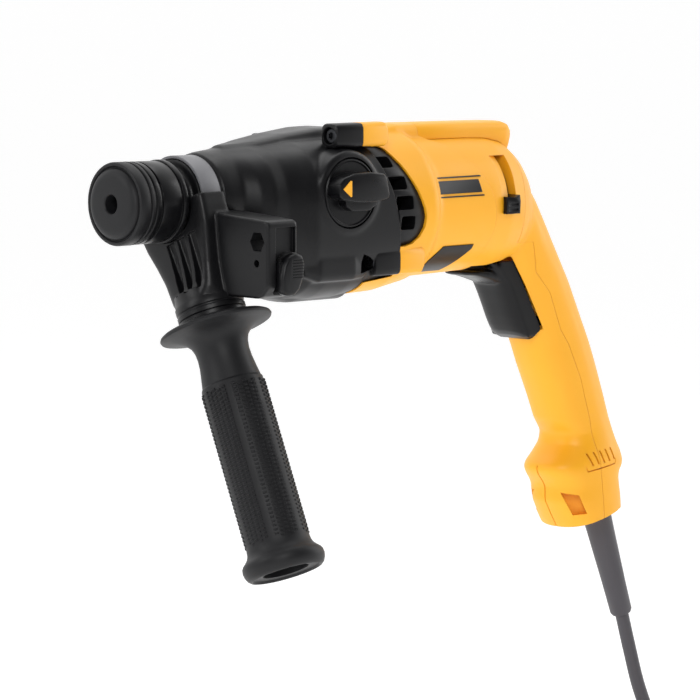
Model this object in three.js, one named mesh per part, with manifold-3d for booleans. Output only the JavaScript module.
// Corded SDS-plus rotary hammer with a pistol grip, a turning side handle and a mains lead.
// Millimetres, +Z up. The nose points to -X, the pistol grip is at +X and the mode selector
// is on the -Y side. Lengths along the tool are measured from the front rim of the dust cap.

import * as THREE from 'three';
import { mergeVertices } from 'three/addons/utils/BufferGeometryUtils.js';
import Module from 'manifold-3d';

const wasm = await Module();
wasm.setup();

// ---------------------------------------------------------------- driving dimensions
const GAP = 0.3;                 // clearance between pieces that touch
const ROUND = 22;                // sides of a turned piece
const GRIP = { x: 322, z: -98 }; // centre of the pistol grip, the origin of the part

const BIT_BORE_R = 5.05;         // 10 mm SDS-plus shank
const NOSE = -7;                 // front face of the dust cap
const SLEEVE_R = 21.2;           // locking sleeve and dust cap
const SLEEVE_END = 27.5;
const COLLAR_R = 21.5;           // neck that the side handle clamps
const COLLAR_START = 34.5;
const COLLAR_END = 49;
const NECK_NOSE_START = 28;      // the sleeve slides back over the nose of the neck
const SLEEVE_BORE_R = 17;
const SHANK_R = 9.5;             // tool holder inside the locking sleeve
const SPINDLE_R = 13.5;          // hammer tube outside
const SPINDLE_BORE_R = 10.8;     // hammer tube inside
const SPINDLE_END = 128;

const SPINDLE_TEETH = 30;
const LAY_PINION_TEETH = 12;
const SPINDLE_MODULE = 1.25;
const LAY_GEAR_TEETH = 35;
const MOTOR_PINION_TEETH = 7;
const MOTOR_MODULE = 0.8;
const LAY_Z = -SPINDLE_MODULE * (SPINDLE_TEETH + LAY_PINION_TEETH) / 2;
const MOTOR_Z = LAY_Z + MOTOR_MODULE * (LAY_GEAR_TEETH + MOTOR_PINION_TEETH) / 2;

const GEARBOX_HALF = 40;         // half width of the gearbox
const GEARBOX_TOP = 34;
const GEARBOX_BOTTOM = -56;
const SPLIT_X = 154.5;           // where the gearbox meets the vent ring, on the spindle axis
const SPLIT_LEAN = 0.29;         // the joint leans back as it goes down
const VENT_LENGTH = 14;
const MOTOR_R = 39;              // motor housing outside
const MOTOR_BORE_R = 35.4;
const MOTOR_END = 232;
const RAIL_TOP = 35;
const RAIL_JOINT = 199;          // where the housing's rail meets the separate rail cap
const RAIL_HALF = 13;
const HANDLE_HALF = 18.5;        // half width of the pistol grip
const BASE_HALF = 22.5;          // half width of its foot
const HANDLE_LEAN = 24;          // degrees, back from straight down
const WALL = 2.8;
const TRIGGER_HALF = 14.4;       // half width of the trigger

const STATOR_R = MOTOR_BORE_R - 0.6; // a slip fit in the motor housing
const FAN_R = MOTOR_BORE_R - 5.4;    // the fan clears the bore and the vent ring
const ARMATURE_R = 22;
const STATOR_START = 190;
const STATOR_LENGTH = 36;

const DIAL = { x: 123, z: 2, r: 18.5 };
const SIDE_X = 39.5;             // axis of the side handle along the tool
const SIDE_SWING = 23.7;         // degrees from straight down, towards -Y
const SIDE_LENGTH = 203;         // spindle axis to the end of the side grip
const SIDE_GRIP_R = 16.6;
const ROD_HOLE = { y: -62.5, z: -18, across: 9.4 };

const CORD_R = 4;
const COIL_R = 48;               // middle of the coil's turns
const COIL_SECTION_R = 15.5;
const COIL_CENTRE = { x: 392, z: -395 };

// ---------------------------------------------------------------- colours
const BLACK_NYLON = { color: 0x1c1c1e, roughness: 0.45, metalness: 0 };
const BLACK_RUBBER = { color: 0x18181a, roughness: 0.65, metalness: 0 };
const YELLOW_NYLON = { color: 0xf5b83a, roughness: 0.5, metalness: 0 };
const ORANGE_PLASTIC = { color: 0xe8901c, roughness: 0.5, metalness: 0 };
const GREY_BAND = { color: 0x747477, roughness: 0.4, metalness: 0.6 };
const STEEL = { color: 0x8d9096, roughness: 0.35, metalness: 1 };
const DARK_STEEL = { color: 0x3c3d40, roughness: 0.4, metalness: 1 };
const BRASS = { color: 0xb8913c, roughness: 0.35, metalness: 1 };
const COPPER = { color: 0xa8623a, roughness: 0.4, metalness: 1 };
const CARBON = { color: 0x242426, roughness: 0.8, metalness: 0.2 };
const CORD_RUBBER = { color: 0x39373b, roughness: 0.6, metalness: 0 };

// ---------------------------------------------------------------- solids
// A closed geometry as a manifold solid, turned the right way out.
function solid(geometry) {
  const bare = geometry.clone();
  bare.deleteAttribute('normal');
  bare.deleteAttribute('uv');
  const merged = mergeVertices(bare, 1e-4);
  const place = merged.attributes.position;
  const index = Uint32Array.from(merged.index.array);
  const a = new THREE.Vector3();
  const b = new THREE.Vector3();
  const c = new THREE.Vector3();
  let volume = 0;
  for (let i = 0; i < index.length; i += 3) {
    a.fromBufferAttribute(place, index[i]);
    b.fromBufferAttribute(place, index[i + 1]);
    c.fromBufferAttribute(place, index[i + 2]);
    volume += a.dot(b.cross(c));
  }
  if (volume < 0) {
    for (let i = 0; i < index.length; i += 3) {
      [index[i + 1], index[i + 2]] = [index[i + 2], index[i + 1]];
    }
  }
  const vertProperties = Float32Array.from(place.array);
  return new wasm.Manifold(new wasm.Mesh({ numProp: 3, vertProperties, triVerts: index }));
}

function geometryOf(manifold) {
  const mesh = manifold.getMesh();
  const geometry = new THREE.BufferGeometry();
  geometry.setAttribute('position', new THREE.BufferAttribute(mesh.vertProperties, 3));
  geometry.setIndex(new THREE.BufferAttribute(mesh.triVerts, 1));
  geometry.computeVertexNormals();
  return geometry;
}

const join = (...solids) => solids.reduce((sum, next) => sum.add(next));
const cut = (first, ...tools) => tools.reduce((sum, next) => sum.subtract(next), first);

function outline(points) {
  return new THREE.Shape(points.map(([u, v]) => new THREE.Vector2(u, v)));
}

function placed(geometry, right, up, along, origin) {
  const matrix = new THREE.Matrix4().makeBasis(right, up, along);
  matrix.setPosition(origin);
  return solid(geometry.applyMatrix4(matrix));
}

const X = new THREE.Vector3(1, 0, 0);
const Y = new THREE.Vector3(0, 1, 0);
const Z = new THREE.Vector3(0, 0, 1);

// A side view (x, z) given a thickness across the tool, from y0 to y1.
function slabY(points, y0, y1, bevel = 0) {
  const settings = {
    depth: y1 - y0 - 2 * bevel,
    bevelEnabled: bevel > 0,
    bevelSize: bevel,
    bevelThickness: bevel,
    bevelOffset: -bevel,
    bevelSegments: 2,
    curveSegments: 6,
  };
  const geometry = new THREE.ExtrudeGeometry(outline(points), settings);
  return placed(geometry, X, Z, Y.clone().negate(), new THREE.Vector3(0, y1 - bevel, 0));
}

// A front view (y, z) drawn out along the tool, from x0 to x1.
function barX(points, x0, x1) {
  const geometry = new THREE.ExtrudeGeometry(outline(points), { depth: x1 - x0, bevelEnabled: false });
  return placed(geometry, Y, Z, X, new THREE.Vector3(x0, 0, 0));
}

// A box from one corner to the other.
function block(x0, x1, y0, y1, z0, z1) {
  const geometry = new THREE.BoxGeometry(x1 - x0, y1 - y0, z1 - z0);
  return solid(geometry.translate((x0 + x1) / 2, (y0 + y1) / 2, (z0 + z1) / 2));
}

// A profile of (distance, radius) points turned about a line.
function turned(profile, origin, direction, sides = ROUND) {
  const points = profile.map(([distance, radius]) => new THREE.Vector2(radius, distance));
  const geometry = new THREE.LatheGeometry(points, sides);
  const turn = new THREE.Quaternion().setFromUnitVectors(Y, direction.clone().normalize());
  return solid(geometry.applyQuaternion(turn).translate(origin.x, origin.y, origin.z));
}

// A solid disc profile, and a ring profile, for turned().
const disc = (start, end, radius) => [[start, 0], [start, radius], [end, radius], [end, 0]];
const ring = (start, end, inner, outer) => [
  [start, inner], [start, outer], [end, outer], [end, inner], [start, inner],
];

const at = (x, y, z) => new THREE.Vector3(x, y, z);
const turnedX = (profile, z = 0, sides = ROUND) => turned(profile, at(0, 0, z), X, sides);
const reflectY = (points) => points.concat(points.map(([y, z]) => [-y, z]).reverse());

const tool = new THREE.Group();
tool.position.set(-GRIP.x, 0, -GRIP.z);

function add(name, shape, look, group = tool) {
  const mesh = new THREE.Mesh(geometryOf(shape), new THREE.MeshStandardMaterial(look));
  mesh.name = name;
  group.add(mesh);
}

// The slanted plane between the gearbox and the motor, as a wedge that starts at the plane.
function behindSplit(offset) {
  const top = 60;
  const low = -80;
  const edge = (z) => SPLIT_X + offset - SPLIT_LEAN * z;
  return slabY([[edge(low), low], [600, low], [600, top], [edge(top), top]], -80, 80);
}

// ---------------------------------------------------------------- gears
// Teeth stand on the pitch circle; each tooth is narrower than its gap, for backlash.
function gear(teeth, module, start, end, z, phase = 0, bore = 0) {
  const root = module * (teeth / 2 - 1.15);
  const tip = module * (teeth / 2 + 0.85);
  const pitch = 2 * Math.PI / teeth;
  const points = [];
  for (let i = 0; i < teeth; i += 1) {
    const middle = i * pitch + phase;
    const spots = [[-0.3, root], [-0.1, tip], [0.1, tip], [0.3, root]];
    for (const [part, radius] of spots) {
      const angle = middle + part * pitch;
      points.push([radius * Math.cos(angle), z + radius * Math.sin(angle)]);
    }
  }
  const body = barX(points, start, end);
  return bore > 0 ? cut(body, turnedX(disc(start - 1, end + 1, bore), z)) : body;
}

const SPINDLE_GEAR_X = 116;
const SPINDLE_GEAR_WIDTH = 9;
const LAY_GEAR_X = 149;
const LAY_GEAR_WIDTH = 6;

// ---------------------------------------------------------------- spindle and chuck
function makeSpindle() {
  const start = 3;
  const shank = SHANK_R;
  const step = 60;
  const outside = [
    [start, BIT_BORE_R], [start, shank], [step - 8, shank], [step, SPINDLE_R], [SPINDLE_END, SPINDLE_R],
    [SPINDLE_END, SPINDLE_BORE_R], [step + 10, SPINDLE_BORE_R], [step + 4, BIT_BORE_R], [start, BIT_BORE_R],
  ];
  const ballPocket = turned(disc(3, 20, 3), at(16, 0, 0), Z, 12);
  add('tool_holder_spindle', cut(turnedX(outside), ballPocket), STEEL);

  const ball = new THREE.SphereGeometry(2.7, 12, 8).translate(16, 0, 7.4);
  add('locking_ball', solid(ball), STEEL);

  const gearEnd = SPINDLE_GEAR_X + SPINDLE_GEAR_WIDTH;
  const bore = SPINDLE_R + 0.05;
  add('spindle_gear', gear(SPINDLE_TEETH, SPINDLE_MODULE, SPINDLE_GEAR_X, gearEnd, 0, 0, bore), DARK_STEEL);

  const bearingOut = COLLAR_R - WALL - GAP;
  add('spindle_front_bearing', turnedX(ring(COLLAR_START + 3, COLLAR_END - 3, shank + GAP, bearingOut)), STEEL);
  const bearingEnd = SPINDLE_GEAR_X - 3;
  add('spindle_rear_bearing', turnedX(ring(bearingEnd - 8, bearingEnd, SPINDLE_R + GAP, SPINDLE_R + 5)), STEEL);
}

function makeChuck() {
  const lip = SLEEVE_R + 0.4;
  const hole = BIT_BORE_R - 0.25;
  const capEnd = 3 - GAP;
  const cap = [
    [NOSE, hole], [NOSE, 12], [NOSE + 0.7, 16], [NOSE + 2.6, 19.6], [NOSE + 4.6, lip], [4.6, lip], [6, SLEEVE_R],
    [6, 17.2], [capEnd, 17.2], [capEnd, hole], [NOSE, hole],
  ];
  add('dust_cap', turnedX(cap), BLACK_RUBBER);

  const inner = SLEEVE_BORE_R;
  const start = 6 + GAP;
  const groove = (x) => [[x, SLEEVE_R], [x + 0.8, SLEEVE_R - 1.6], [x + 1.8, SLEEVE_R - 1.6], [x + 2.6, SLEEVE_R]];
  const sleeve = [
    [start, inner], [start, SLEEVE_R], ...groove(9), ...groove(13.5), [24, SLEEVE_R], [24.6, SLEEVE_R - 1],
    [25.4, SLEEVE_R - 1], [26, SLEEVE_R], [SLEEVE_END, SLEEVE_R], [SLEEVE_END, inner], [20, inner], [20, 10.4],
    [18, 10.4], [18, inner], [start, inner],
  ];
  add('locking_sleeve', turnedX(sleeve), BLACK_NYLON);
  add('sleeve_spring', turnedX(ring(20 + GAP, NECK_NOSE_START - GAP, 11.2, 13.4)), STEEL);
  add('ball_retaining_ring', turnedX(ring(12.6, 16.6, 11, 16.6)), STEEL);
}

// ---------------------------------------------------------------- hammer mechanism
const WOBBLE_X = 138;
const PISTON_FRONT = 112;

function makeHammerMechanism() {
  const slide = SPINDLE_BORE_R - GAP;
  add('impact_bolt', turnedX([[47, 0], [47, 4.7], [66, 4.7], [73, 8], [80, 8], [84, 5], [84, 0]]), DARK_STEEL);
  add('striker', turnedX([[90, 0], [90, 5], [92, slide], [104, slide], [104, 0]]), DARK_STEEL);

  const pistonEnd = WOBBLE_X + 6;
  const piston = turnedX([
    [PISTON_FRONT, 0], [PISTON_FRONT, slide], [pistonEnd, slide], [pistonEnd, slide - 2],
    [PISTON_FRONT + 8, slide - 2], [PISTON_FRONT + 8, 0],
  ]);
  const fingerSlot = block(WOBBLE_X - 5, pistonEnd + 1, -4, 4, -SPINDLE_R, 0);
  add('piston', cut(piston, fingerSlot), COPPER);

  const shaftR = 4;
  const layGearEnd = LAY_GEAR_X + LAY_GEAR_WIDTH;
  const shaft = join(
    turnedX(disc(96, 162, shaftR), LAY_Z),
    gear(LAY_PINION_TEETH, SPINDLE_MODULE, SPINDLE_GEAR_X - 1, SPINDLE_GEAR_X + 11, LAY_Z),
  );
  add('intermediate_shaft', shaft, DARK_STEEL);
  const bore = shaftR + 0.05;
  const toothUp = Math.PI / 2;
  add('intermediate_gear', gear(LAY_GEAR_TEETH, MOTOR_MODULE, LAY_GEAR_X, layGearEnd, LAY_Z, toothUp, bore), STEEL);
  add('intermediate_front_bearing', turnedX(ring(98, 104, shaftR + GAP, 9), LAY_Z), STEEL);
  add('intermediate_rear_bearing', turnedX(ring(layGearEnd + 1, 161, shaftR + GAP, 9), LAY_Z), STEEL);

  const wobbleRing = turnedX(ring(WOBBLE_X - 4, WOBBLE_X + 4, 7.2, 11.5), LAY_Z);
  const finger = turned(disc(9.5, -LAY_Z - 5, 2.5), at(WOBBLE_X, 0, LAY_Z), Z, 14);
  add('wobble_ring', join(wobbleRing, finger), STEEL);
}

// ---------------------------------------------------------------- motor
function makeMotor() {
  const shaftR = 3.4;
  const shaftStart = LAY_GEAR_X - 1;
  const rearBearing = 249;
  const gapDown = Math.PI / 2;
  const pinionEnd = LAY_GEAR_X + LAY_GEAR_WIDTH + 1;
  const pinion = gear(MOTOR_PINION_TEETH, MOTOR_MODULE, shaftStart, pinionEnd, MOTOR_Z, gapDown);
  add('armature_shaft', join(pinion, turnedX(disc(pinionEnd - 0.5, rearBearing + 7, shaftR), MOTOR_Z)), STEEL);
  add('front_motor_bearing', turnedX(ring(162, 168, shaftR + GAP, 9.5), MOTOR_Z), STEEL);

  const coreStart = STATOR_START + 2;
  const coreEnd = STATOR_START + STATOR_LENGTH - 2;
  const windings = [
    [coreStart - 8, shaftR + GAP], [coreStart - 8, 14], [coreStart, 19], [coreStart, ARMATURE_R],
    [coreEnd, ARMATURE_R], [coreEnd, 19], [coreEnd + 6, 14], [coreEnd + 6, shaftR + GAP],
    [coreStart - 8, shaftR + GAP],
  ];
  add('armature_core', turnedX(windings, MOTOR_Z), COPPER);
  add('commutator', turnedX(ring(coreEnd + 7, rearBearing - 2, shaftR + GAP, 11), MOTOR_Z), COPPER);
  add('rear_motor_bearing', turnedX(ring(rearBearing, rearBearing + 7, shaftR + GAP, 9), MOTOR_Z), STEEL);

  const hub = turnedX(ring(173, 179, shaftR + GAP, 10), MOTOR_Z);
  const plate = turnedX(ring(178, 180, shaftR + GAP, FAN_R), MOTOR_Z);
  let fan = join(hub, plate);
  const blades = 9;
  for (let i = 0; i < blades; i += 1) {
    const blade = block(172, 178.5, -0.8, 0.8, 9, FAN_R - 1);
    fan = fan.add(blade.rotate([i * 360 / blades, 0, 0]).translate([0, 0, MOTOR_Z]));
  }
  add('cooling_fan', fan, BLACK_NYLON);

  const statorEnd = STATOR_START + STATOR_LENGTH;
  add('stator', turnedX(ring(STATOR_START, statorEnd, ARMATURE_R + 0.8, STATOR_R), MOTOR_Z), DARK_STEEL);

  const brushX = 240;
  for (const [name, side] of [['brush_left', -1], ['brush_right', 1]]) {
    const carbon = block(brushX - 3, brushX + 3, Math.min(side * 11.4, side * 22), Math.max(side * 11.4, side * 22),
      MOTOR_Z - 3, MOTOR_Z + 3);
    add(name, carbon, CARBON);
  }
}

// ---------------------------------------------------------------- casings
function makeGearbox() {
  const side = [
    [64, 24], [70, 27], [84, 29], [104, 32], [125, GEARBOX_TOP], [190, GEARBOX_TOP],
    [190, GEARBOX_BOTTOM], [112, GEARBOX_BOTTOM], [98, GEARBOX_BOTTOM + 4], [78, -36], [64, -24],
  ];
  const half = GEARBOX_HALF;
  const front = reflectY([
    [half * 0.2, GEARBOX_TOP + 1], [half * 0.5, GEARBOX_TOP - 4.5], [half * 0.82, GEARBOX_TOP - 16], [half, 3], [half, -16],
    [half * 0.88, -36], [half * 0.55, GEARBOX_BOTTOM - 1],
  ]);
  const plan = [
    [64, -25], [80, -31], [100, -half], [190, -half], [190, half], [100, half], [80, 31], [64, 25],
  ];
  const planBar = placed(
    new THREE.ExtrudeGeometry(outline(plan), { depth: 120, bevelEnabled: false }),
    X, Y, Z, at(0, 0, -70),
  );
  const body = slabY(side, -60, 60).intersect(barX(front, 60, 195)).intersect(planBar);
  const neck = turnedX([
    [NECK_NOSE_START, 0], [NECK_NOSE_START, SLEEVE_BORE_R - 0.6], [COLLAR_START, SLEEVE_BORE_R - 0.6],
    [COLLAR_START, COLLAR_R], [COLLAR_END, COLLAR_R], [COLLAR_END + 1, 24], [66, 26.5],
    [74, 26.5], [74, 0],
  ]);
  let housing = join(body, neck, ...SCREW_SPOTS.map((spot) => bossBlock(spot, spot.front, 200)));
  housing = cut(housing, behindSplit(0));

  const noseBore = turnedX(disc(NECK_NOSE_START - 1, COLLAR_START + 3, SHANK_R + GAP));
  const collarBore = turnedX(disc(COLLAR_START + 2.6, COLLAR_END + 2, COLLAR_R - WALL));
  const neckBore = turnedX(disc(COLLAR_END, 92, COLLAR_R - WALL + 1));
  const room = turnedX(disc(90, 200, 27));
  const lower = turnedX(disc(94, 200, 19), LAY_Z);
  const dialSeat = turned(disc(GEARBOX_HALF - 5, GEARBOX_HALF + 20, DIAL.r + GAP), at(DIAL.x, 0, DIAL.z), Y.clone().negate());
  const dialBore = turned(disc(10, GEARBOX_HALF, 6 + GAP), at(DIAL.x, 0, DIAL.z), Y.clone().negate());
  housing = cut(housing, noseBore, collarBore, neckBore, room, lower, dialSeat, dialBore, ...SCREW_SPOTS.map(screwHole));
  add('gearbox_housing', housing, BLACK_NYLON);
}

// Four long screws hold the gearbox to the motor housing, in blocks at the corners.
// The upper right one sits lower, under the line of the top rail.
const SCREW_SPOTS = [-1, 1].flatMap((side) => [
  { name: side < 0 ? 'upper_left' : 'upper_right', y: side * 27, z: side < 0 ? 28.5 : 22.5, front: 117, meet: 146, end: 164 },
  { name: side < 0 ? 'lower_left' : 'lower_right', y: side * 30, z: -38, front: 143, meet: 166, end: 180 },
]);
const BOSS_R = 8;
const SCREW_R = 2.3;

function bossBlock(spot, start, end) {
  return turned(disc(start, end, BOSS_R), at(0, spot.y, spot.z), X, 8);
}

function screwHole(spot) {
  return join(
    turned(disc(spot.front - 1, spot.front + 5, 4.6), at(0, spot.y, spot.z), X, 16),
    turned(disc(spot.front, spot.end - 3, SCREW_R + GAP), at(0, spot.y, spot.z), X, 12),
  );
}

function makeScrews() {
  for (const spot of SCREW_SPOTS) {
    const screw = join(
      turned(disc(spot.front + 1.5, spot.front + 4.7, 4.2), at(0, spot.y, spot.z), X, 16),
      turned(disc(spot.front + 4, spot.end - 4, SCREW_R), at(0, spot.y, spot.z), X, 12),
    );
    const star = turned(disc(spot.front, spot.front + 3.4, 2), at(0, spot.y, spot.z), X, 6);
    add(`case_screw_${spot.name}`, cut(screw, star), DARK_STEEL);
  }
}

function makeVentRing() {
  const outside = turnedX(ring(120, 200, FAN_R + 0.5, MOTOR_R - 1.5), MOTOR_Z);
  let vents = cut(outside.intersect(behindSplit(GAP)), behindSplit(VENT_LENGTH));
  const slots = 6;
  for (const side of [-1, 1]) {
    for (let i = 0; i < slots; i += 1) {
      const middle = -50 + i * 14;
      const slot = block(-4.5, 4.5, -60, 0, -2.8, 2.8);
      const angle = side < 0 ? middle : 180 - middle;
      const height = MOTOR_R * Math.sin(THREE.MathUtils.degToRad(middle));
      const x = SPLIT_X + VENT_LENGTH / 2 - SPLIT_LEAN * (MOTOR_Z - height);
      vents = vents.subtract(slot.rotate([angle, 0, 0]).translate([x, 0, MOTOR_Z]));
    }
  }
  const screwRoom = SCREW_SPOTS.map((spot) => turned(disc(130, 210, BOSS_R + GAP), at(0, spot.y, spot.z), X, 8));
  add('vent_ring', cut(vents, ...screwRoom), BLACK_NYLON);
}

function makeMotorHousing() {
  const flare = MOTOR_R + 2.6;
  const shell = turnedX([
    [120, 0], [120, flare], [184, flare], [192, MOTOR_R], [MOTOR_END, MOTOR_R - 1.5], [MOTOR_END, 0],
  ], MOTOR_Z);
  const rail = slabY([[150, 0], [150, 30], [176, 33.5], [184, RAIL_TOP], [RAIL_JOINT, RAIL_TOP], [RAIL_JOINT, 0]],
    -RAIL_HALF, RAIL_HALF);
  let housing = join(shell, rail).intersect(behindSplit(VENT_LENGTH + GAP));
  const ends = SCREW_SPOTS.map((spot) => bossBlock(spot, spot.meet, spot.end).intersect(behindSplit(GAP)));
  housing = join(housing, ...ends);
  const bore = turnedX(disc(100, MOTOR_END + 1, MOTOR_BORE_R), MOTOR_Z);
  housing = cut(cut(housing, bore), ...SCREW_SPOTS.map(screwHole));
  add('motor_housing', housing, YELLOW_NYLON);
}

// ---------------------------------------------------------------- pistol grip
const HANDLE_SIDE = [
  [MOTOR_END + GAP, 28], [258, 26.5], [270, 21], [280, 13], [289, 3], [296, -9], [301, -22], [306, -34], [312, -45],
  [319, -57], [332, -80], [343, -104], [352, -127], [359, -143], [365, -153], [367, -163], [365, -172],
  [366, -191], [344, -197], [328, -197], [320, -192], [311, -176], [311, -170], [304, -161],
  [304, -157], [310, -152], [314.5, -145], [314.5, -138], [308, -123], [291, -94], [284, -90], [286, -87],
  [293, -84], [276, -50], [271, -46], [258, -47.5], [MOTOR_END + GAP, -47.5],
];

function handleOutside() {
  const h = HANDLE_HALF;
  const front = reflectY([
    [20, 36], [28, 20], [34, 4], [36, -10], [34, -26], [27, -42], [h + 1, -58], [h, -100], [h - 0.5, -136],
    [BASE_HALF, -158], [BASE_HALF, -186], [BASE_HALF - 4, -200],
  ]);
  const side = slabY(HANDLE_SIDE, -MOTOR_R, MOTOR_R).intersect(barX(front, MOTOR_END, 380));
  return side.intersect(join(headSpace(), ...gripSlices()));
}

// The head of the grip is round in plan, from the motor housing back to the hump of the hand.
function headSpace() {
  const plan = [
    [MOTOR_END, -37], [256, -34.5], [272, -29], [286, -21], [300, -9], [306, 0], [300, 9], [286, 21], [272, 29],
    [256, 34.5], [MOTOR_END, 37],
  ];
  const geometry = new THREE.ExtrudeGeometry(outline(plan), { depth: 110, bevelEnabled: false });
  return placed(geometry, X, Y, Z, at(0, 0, -60));
}

// Below the head the grip is a stack of oval slices that lean back with the hand.
// Each row gives the height, the middle along the tool, and the half length and half width.
const GRIP_ROWS = [
  [4, 268, 29, 22], [-22, 281, 26, 21.5], [-57, 301, 23.5, 19.5], [-80, 312, 23.2, 19], [-104, 321.5, 24, 19],
  [-123, 330, 22.8, 18.7], [-141, 337, 23, 18.7], [-153, 337, 28.5, 22], [-165, 336, 32, 23.5],
  [-186, 341, 27.5, 23.5], [-199, 345, 24, 21],
];

function gripSlices() {
  const slices = [];
  for (let i = 0; i + 1 < GRIP_ROWS.length; i += 1) {
    slices.push(ovalLoft(GRIP_ROWS[i], GRIP_ROWS[i + 1]));
  }
  return slices;
}

// A short oval cylinder, moved row by row so that its ends are the two given ovals.
function ovalLoft([z0, x0, a0, b0], [z1, x1, a1, b1]) {
  const geometry = new THREE.CylinderGeometry(1, 1, 1, 16);
  const place = geometry.attributes.position;
  for (let i = 0; i < place.count; i += 1) {
    const top = place.getY(i) > 0;
    const [z, x, a, b] = top ? [z0 + 0.01, x0, a0, b0] : [z1, x1, a1, b1];
    place.setXYZ(i, x + squarer(place.getX(i)) * a, -squarer(place.getZ(i)) * b, z);
  }
  return solid(geometry);
}

// Moves a circle's coordinate outwards a little, so that the oval has fuller corners.
function squarer(unit) {
  return Math.sign(unit) * Math.pow(Math.abs(unit), 0.86);
}

// The grip is hollow: the same side view, drawn in from the walls.
function handleInside() {
  const inner = [
    [MOTOR_END - 1, 22], [256, 21], [270, 15], [288, 1], [296, -12], [304, -32], [318, -58], [338, -104],
    [351, -146], [360, -158], [360, -184], [334, -186], [322, -174], [321, -150], [316, -128], [302, -94], [288, -62],
    [268, -40], [MOTOR_END - 1, -42],
  ];
  const half = HANDLE_HALF - WALL - 2;
  const deep = slabY(inner, -half, half);
  const head = turnedX([[MOTOR_END - 1, 0], [MOTOR_END - 1, 31], [252, 30.5], [262, 20], [262, 0]], MOTOR_Z);
  return join(deep, head);
}

// The joint between the grip's front part and its rear cover, seen from the side.
const COVER_LINE = [
  [263, 40], [263, -32], [281, -33], [285, -50], [296, -62], [306, -84], [312, -92], [322, -112], [332, -140],
  [338, -160], [340, -210],
];

function behindCoverLine(offset) {
  const line = COVER_LINE.map(([x, z]) => [x + offset, z]);
  return slabY([...line, [420, -210], [420, 40]], -60, 60);
}

function makeHandle() {
  const shell = cut(handleOutside(), handleInside());
  const triggerRoom = slabY([
    [238.5, -44.5], [238.5, -60], [258, -60], [262, -88], [292, -84.5], [302, -88], [296, -70], [286, -44],
  ], -TRIGGER_HALF - 0.5, TRIGGER_HALF + 0.5);
  const slotCut = cut(
    turnedX(ring(240, 252, 26, 50), MOTOR_Z),
    block(200, 300, 0, 60, -60, 60),
    block(200, 300, -60, 60, -60, MOTOR_Z - 4.5),
    block(200, 300, -60, 0, 18.5, 60),
  );
  const bootHole = turned(disc(2.4 + GAP, 40, BOOT_TOP_R + GAP), BOOT_TOP, BOOT_DIRECTION, 20);
  const rear = behindCoverLine(0);
  const frontShell = cut(shell, rear, triggerRoom, slotCut, bootHole);
  add('handle_front_shell', largest(frontShell), YELLOW_NYLON);
  const rearShell = cut(shell.intersect(behindCoverLine(GAP)), bootHole, triggerRoom);
  add('handle_rear_cover', largest(rearShell), YELLOW_NYLON);
}

// A cut can leave loose slivers: the piece itself is the one with the greatest volume.
function largest(shape) {
  const parts = shape.decompose();
  return parts.reduce((best, next) => (next.volume() > best.volume() ? next : best));
}

function makeRail() {
  const start = RAIL_JOINT + GAP;
  const side = [
    [start, 0], [start, RAIL_TOP], [264, RAIL_TOP], [268, 31.5], [268, 0],
  ];
  const tube = turnedX(disc(start - 1, MOTOR_END + GAP, MOTOR_R + GAP), MOTOR_Z);
  const rail = cut(slabY(side, -RAIL_HALF, RAIL_HALF), tube, handleOutside().translate([0, 0, GAP]));
  add('top_rail_cap', topmost(rail), YELLOW_NYLON);
}

// The piece of a cut shape that reaches highest.
function topmost(shape) {
  const height = (part) => part.boundingBox().max[2];
  return shape.decompose().reduce((best, next) => (height(next) > height(best) ? next : best));
}

// ---------------------------------------------------------------- controls
function makeDial() {
  const out = Y.clone().negate();
  const centre = at(DIAL.x, 0, DIAL.z);
  const face = GEARBOX_HALF + 1.5;
  const disk = turned([
    [GEARBOX_HALF - 4.6, 0], [GEARBOX_HALF - 4.6, DIAL.r], [face - 1, DIAL.r], [face, DIAL.r - 1], [face, 0],
  ], centre, out, 32);
  const stem = turned(disc(24, GEARBOX_HALF - 4, 6), centre, out, 16);
  const bar = slabY([
    [DIAL.x - 16, DIAL.z - 3], [DIAL.x - 16, DIAL.z + 4], [DIAL.x - 4, DIAL.z + 8], [DIAL.x + 14, DIAL.z + 7],
    [DIAL.x + 17, DIAL.z + 1], [DIAL.x + 15, DIAL.z - 7], [DIAL.x - 4, DIAL.z - 7],
  ], -face - 9, -face + 0.5);
  const seat = slabY(pointerOutline(GAP), -face - 12, -face - 8);
  add('mode_selector', cut(join(disk, stem, bar), seat), BLACK_NYLON);
  add('mode_pointer', slabY(pointerOutline(0), -face - 9.3, -face - 8.3), ORANGE_PLASTIC);
  add('mode_eccentric_pin', turned(disc(20.5, 24 - GAP, 2), at(DIAL.x, 0, DIAL.z + 3), out, 12), STEEL);
}

const pointerOutline = (grow) => [
  [DIAL.x - 13 - grow, DIAL.z + 1], [DIAL.x - 8 + grow, DIAL.z + 4.5 + grow], [DIAL.x - 8 + grow, DIAL.z - 3 - grow],
];

const PULL = THREE.MathUtils.degToRad(HANDLE_LEAN);

function makeTrigger() {
  const side = [
    [239, -48.5], [262, -48.2], [277.5, -52], [291.5, -83], [287, -86], [283, -87], [278.5, -84], [270, -68],
    [262, -55], [256, -51.5],
  ];
  const plate = slabY(side, -TRIGGER_HALF, TRIGGER_HALF, 1.5);
  add('trigger', plate, BLACK_NYLON);

  const spring = turned(disc(0, 6, 2.6), at(286, 0, -66), at(Math.cos(PULL), 0, Math.sin(PULL)), 12);
  add('trigger_spring', spring, STEEL);
  const body = block(-11, 11, -9, 9, -13, 13).rotate([0, -HANDLE_LEAN, 0]).translate([307, 0, -74]);
  add('switch_body', cut(body, triggerSweep()), BLACK_NYLON);
}

function triggerSweep() {
  return block(260, 297.5, -20, 20, -110, -40);
}

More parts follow.
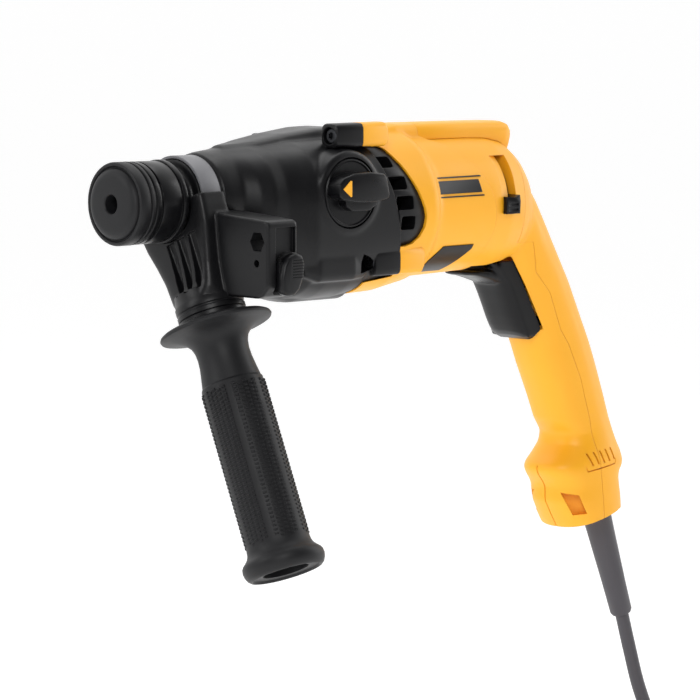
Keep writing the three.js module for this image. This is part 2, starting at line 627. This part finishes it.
// Reversing lever: a brush ring round the commutator, with a knob in the curved slot.
function makeReversingLever() {
  const leverX = 246;
  const carrier = turnedX(ring(237, 241.7, 23, 27), MOTOR_Z);
  const guard = cut(
    turnedX(ring(242, 250, 26.5, 29.2), MOTOR_Z),
    block(230, 260, 0, 60, -60, 60),
    block(230, 260, -60, 60, -60, MOTOR_Z + 4),
    block(230, 260, -60, 0, 19, 60),
  );
  add('reversing_brush_ring', carrier, BLACK_NYLON);
  const knob = block(leverX - 4, leverX + 4, -39.5, -26, MOTOR_Z - 4, MOTOR_Z + 3.6);
  add('reversing_lever', knob, BLACK_NYLON);
  add('reversing_guard', largest(guard), ORANGE_PLASTIC);
}

// ---------------------------------------------------------------- plates
function makePlates() {
  const over = MOTOR_R + 0.2;
  const skin = turnedX(ring(196, 228, over, over + 0.7), MOTOR_Z, 48);
  const upper = skin.intersect(block(196, 228, -60, 0, MOTOR_Z + 2, MOTOR_Z + 15));
  add('maker_plate_blank', largest(upper), BLACK_NYLON);
  const lower = skin.intersect(block(198, 226, -60, 0, MOTOR_Z - 37, MOTOR_Z - 20));
  add('rating_plate_blank', largest(lower), GREY_BAND);
}

// ---------------------------------------------------------------- side handle
const SWING = THREE.MathUtils.degToRad(SIDE_SWING);
const SIDE_DOWN = at(0, -Math.sin(SWING), -Math.cos(SWING));
const SIDE_ACROSS = at(0, Math.cos(SWING), -Math.sin(SWING));
const SIDE_AXIS = at(SIDE_X, 0, 0);

// A view along the tool in the side handle's own (across, down) directions.
function sideBar(points, x0, x1) {
  const flipped = points.map(([across, down]) => [across, -down]);
  const geometry = new THREE.ExtrudeGeometry(outline(flipped), { depth: x1 - x0, bevelEnabled: false });
  return placed(geometry, SIDE_ACROSS, SIDE_DOWN.clone().negate(), X, at(x0, 0, 0));
}

const BAND_OUT = COLLAR_R + GAP + 1.6;
const HUB_R = 17.6;
const HUB_START = 54;
const HUB_END = 66;

function makeSideClamp() {
  const x0 = COLLAR_START + 1;
  const front = SLEEVE_END + 1;
  const band = cut(
    turnedX(ring(x0, COLLAR_END - 1, COLLAR_R + GAP, BAND_OUT), 0, 32),
    sideBar([[-40, 5], [40, 5], [40, 60], [-40, 60]], x0 - 1, COLLAR_END),
  );
  add('clamp_band', band, GREY_BAND);

  const x1 = COLLAR_END - 0.6;
  const yoke = sideBar([
    [-27.5, 5 + GAP], [-26, 16], [-HUB_R, HUB_START], [-HUB_R, HUB_START + 2], [HUB_R, HUB_START + 2],
    [HUB_R, HUB_START], [26, 16], [27.5, 5 + GAP],
  ], front, x1);
  const web = sideBar([[-20, 22], [-16, HUB_START + 2], [16, HUB_START + 2], [20, 22]], x1 - 1, x1 + 10);
  const hub = turned(disc(HUB_START, HUB_END - GAP, HUB_R), SIDE_AXIS, SIDE_DOWN);
  let body = join(yoke, web, hub, makeStopBlock());
  const fins = 4;
  for (let i = 0; i < fins; i += 1) {
    const middle = -16 + i * 9;
    const groove = sideBar([[middle - 2.6, 26], [middle - 2.2, 52], [middle + 2.2, 52], [middle + 2.6, 26]],
      front - 1, front + 5);
    body = body.subtract(groove);
  }
  const collar = turnedX(disc(front - 1, 60, COLLAR_R + GAP), 0, 32);
  const neck = turnedX(disc(COLLAR_END - 0.8, 66, 27.2), 0, 32);
  const boltHole = turned(disc(20, HUB_END + 2, 4.3), SIDE_AXIS, SIDE_DOWN, 16);
  body = cut(body, collar, neck, boltHole, rodHole(), leverPocket());
  add('side_handle_clamp', largest(body), BLACK_NYLON);
  add('clamp_bolt', turned(disc(BAND_OUT + 6, 110, 4), SIDE_AXIS, SIDE_DOWN, 16), STEEL);
}

// The block beside the clamp holds a depth rod that runs beside the tool.
const STOP = { x0: 37, x1: 55.5, y0: -70.5, y1: -22, z0: -47, z1: -4 };

function makeStopBlock() {
  const front = [
    [STOP.y0, STOP.z0 + 6], [STOP.y0, STOP.z1 - 5], [STOP.y0 + 3, STOP.z1 - 3], [STOP.y1, STOP.z1],
    [STOP.y1, STOP.z0], [STOP.y0 + 8, STOP.z0],
  ];
  return barX(front, STOP.x0, STOP.x1);
}

function rodHole() {
  const radius = ROD_HOLE.across / 2 / Math.cos(Math.PI / 6);
  const hex = new THREE.CylinderGeometry(radius, radius, 60, 6).rotateZ(Math.PI / 2);
  return solid(hex.translate((STOP.x0 + STOP.x1) / 2, ROD_HOLE.y, ROD_HOLE.z));
}

function leverPocket() {
  return block(STOP.x0 + 5, STOP.x1 - 2.5, STOP.y0 - 1, STOP.y0 + 6, STOP.z0 + 5, ROD_HOLE.z - 7);
}

function makeStopLever() {
  const y0 = STOP.y0 - 5;
  const lever = slabY([
    [STOP.x0 + 6, -44], [STOP.x0 + 6, -32], [STOP.x0 + 9, -27], [STOP.x1 - 3.2, -27], [STOP.x1 - 3.2, -40],
    [STOP.x0 + 12, -41],
  ].map(([x, z]) => [x, Math.max(z, STOP.z0 + 5.6)]), y0, STOP.y0 + 2);
  add('depth_stop_button', lever, BLACK_NYLON);
  const spring = turned(disc(0, 3.4, 2), at(STOP.x0 + 12, STOP.y0 + 2 + GAP, -34), Y, 12);
  add('depth_stop_spring', spring, STEEL);
}

function makeSideGrip() {
  const start = HUB_END;
  const end = SIDE_LENGTH;
  const g = SIDE_GRIP_R;
  const profile = [
    [start, 4.3], [start, 18.5], [start + 2, 26], [start + 3.5, 29.5], [start + 6, 29.6], [start + 9, 24],
    [start + 12, 16], [start + 17, 13.8], [start + 24, 15], [start + 34, g], [end - 17, g], [end - 11, g + 0.5],
    [end - 8.5, 21.4], [end - 3, 21.6], [end, 20.6], [end, 0], [112, 0], [112, 4.3], [start, 4.3],
  ];
  add('side_grip', turned(profile, SIDE_AXIS, SIDE_DOWN, 24), BLACK_RUBBER);
}

// ---------------------------------------------------------------- mains lead
const BOOT_LEAN = THREE.MathUtils.degToRad(20);
const BOOT_DIRECTION = at(Math.sin(BOOT_LEAN), 0, -Math.cos(BOOT_LEAN));
const BOOT_TOP = at(350, 0, -178.5);
const BOOT_TOP_R = 7.2;
const BOOT_LENGTH = 80;

function makeBoot() {
  const profile = [[0, 0], [0, 9], [2.4, 9], [2.4, BOOT_TOP_R], [BOOT_LENGTH, 5.4], [BOOT_LENGTH, 0]];
  add('cord_boot', turned(profile, BOOT_TOP, BOOT_DIRECTION, 20), CORD_RUBBER);
}

function tube(points, radius, steps, sides) {
  const circle = [];
  for (let i = 0; i < sides; i += 1) {
    const angle = i * 2 * Math.PI / sides;
    circle.push([radius * Math.cos(angle), radius * Math.sin(angle)]);
  }
  const curve = new THREE.CatmullRomCurve3(points, false, 'centripetal');
  const settings = { steps, bevelEnabled: false, extrudePath: curve };
  return solid(new THREE.ExtrudeGeometry(outline(circle), settings));
}

function makeCord() {
  const tip = BOOT_TOP.clone().addScaledVector(BOOT_DIRECTION, BOOT_LENGTH + GAP);
  const c = COIL_CENTRE;
  const route = [
    tip, at(tip.x + 5.5, 0, tip.z - 17), at(tip.x + 9, 0, tip.z - 36), at(tip.x + 8, 0, tip.z - 56),
    at(c.x - 16, 0, c.z + COIL_R + 18),
  ];
  add('mains_cord', tube(route, CORD_R, 14, 10), CORD_RUBBER);

  const coil = [];
  const corners = 8;
  for (let i = 0; i <= corners; i += 1) {
    const angle = Math.PI / 8 + i * 2 * Math.PI / corners;
    coil.push([COIL_SECTION_R * Math.sin(angle), COIL_R + COIL_SECTION_R * Math.cos(angle)]);
  }
  add('cord_coil', turned(coil, at(c.x, 0, c.z), Y, 28), CORD_RUBBER);
}

function makePlug() {
  const c = COIL_CENTRE;
  const top = c.z - 8;
  const x = c.x + COIL_R + COIL_SECTION_R + 10;
  const body = turned([
    [0, 0], [0, 5], [14, 6], [18, 12], [34, 15], [44, 15], [44, 0],
  ], at(x, 0, top), Z.clone().negate(), 16);
  add('mains_plug', body, CORD_RUBBER);
  for (const [name, side] of [['plug_pin_left', -1], ['plug_pin_right', 1]]) {
    const pin = turned(disc(44 + GAP, 62, 2.4), at(x + side * 9.5, 0, top), Z.clone().negate(), 12);
    add(name, pin, BRASS);
  }
}

makeSpindle();
makeChuck();
makeHammerMechanism();
makeMotor();
makeGearbox();
makeScrews();
makeVentRing();
makeMotorHousing();
makeHandle();
makeRail();
makeDial();
makeTrigger();
makeReversingLever();
makePlates();
makeSideClamp();
makeStopLever();
makeSideGrip();
makeBoot();
makeCord();
makePlug();

export default tool;
